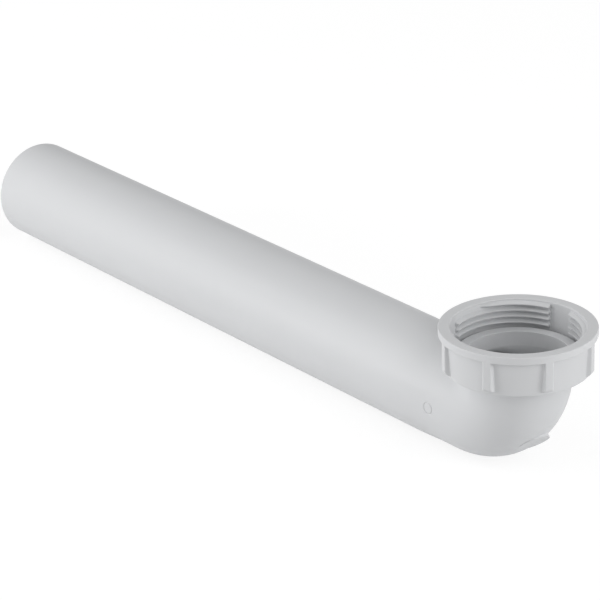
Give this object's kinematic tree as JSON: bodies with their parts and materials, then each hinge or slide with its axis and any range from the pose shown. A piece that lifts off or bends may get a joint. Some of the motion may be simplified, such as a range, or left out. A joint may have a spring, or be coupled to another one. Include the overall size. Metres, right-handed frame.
{
  "type": "drain connection elbow",
  "caption": "Right-angle plastic drain connection with a long plain pipe spigot, a tight bend, and a captive ribbed union nut that turns on a flat-faced collar",
  "frame": {"origin": "Centre of the collar's flat sealing face, on the union nut's axis", "axes": "+Z out of the union nut's mouth along its axis; the long pipe runs along -X; Y across the bend's plane"},
  "size_m": [0.3352, 0.0564, 0.0554],
  "materials": {
    "pipe_plastic": "light grey moulded polypropylene, smooth with a soft sheen",
    "nut_plastic": "light grey moulded polypropylene, slightly duller than the pipe"
  },
  "bodies": {
    "elbow": {"elbow_pipe": "pipe_plastic"},
    "nut": {"union_nut": "nut_plastic"}
  },
  "joints": [
    {"name": "nut_turn", "type": "hinge", "parent": "elbow", "child": "nut", "pos_m": [0, 0, 0], "axis": [0, 0, 1], "continuous": true}
  ]
}
